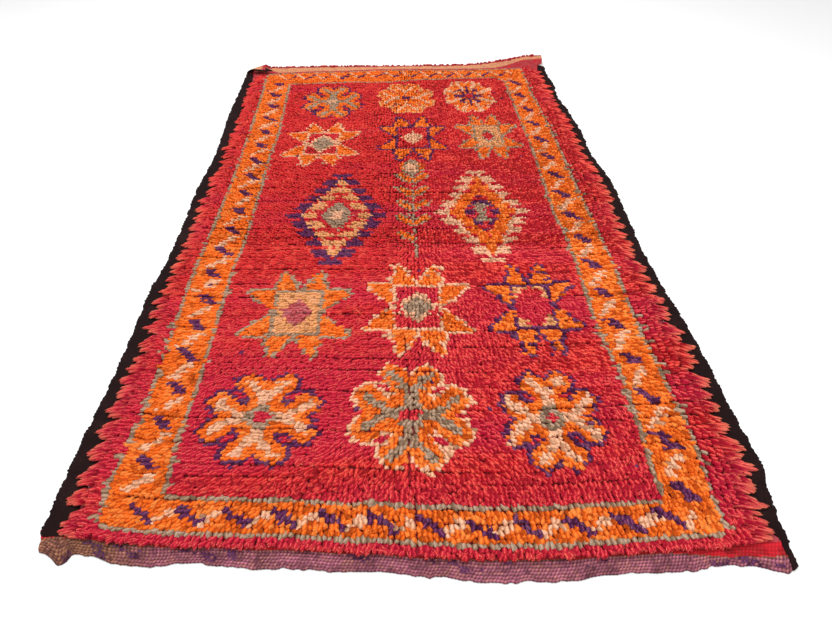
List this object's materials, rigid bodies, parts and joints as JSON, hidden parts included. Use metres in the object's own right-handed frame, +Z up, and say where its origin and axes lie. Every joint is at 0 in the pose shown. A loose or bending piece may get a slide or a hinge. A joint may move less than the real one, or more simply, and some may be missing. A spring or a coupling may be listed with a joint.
{
  "type": "moroccan rug",
  "caption": "Hand-knotted wool pile rug lying flat, with flat-woven ends, dark edge bands along its long sides and one far corner turned back.",
  "frame": {"origin": "middle of the rug's box, on the surface that the rug lies on", "axes": "+Y along the rug towards the end with the turned-back corner, +X to the right across it, +Z up out of the pile"},
  "size_m": [1.7374, 3.0314, 0.036],
  "materials": {
    "flat_weave": "matt flat-woven wool, mauve-brown at the near end, peach and red at the far end",
    "wool_pile": "soft, slightly lustrous hand-spun wool pile",
    "goat_hair": "coarse dark goat hair"
  },
  "bodies": {
    "root": {"ground_weave": "flat_weave", "pile": "wool_pile", "edge_band_left": "goat_hair", "edge_band_right": "goat_hair"}
  },
  "joints": []
}
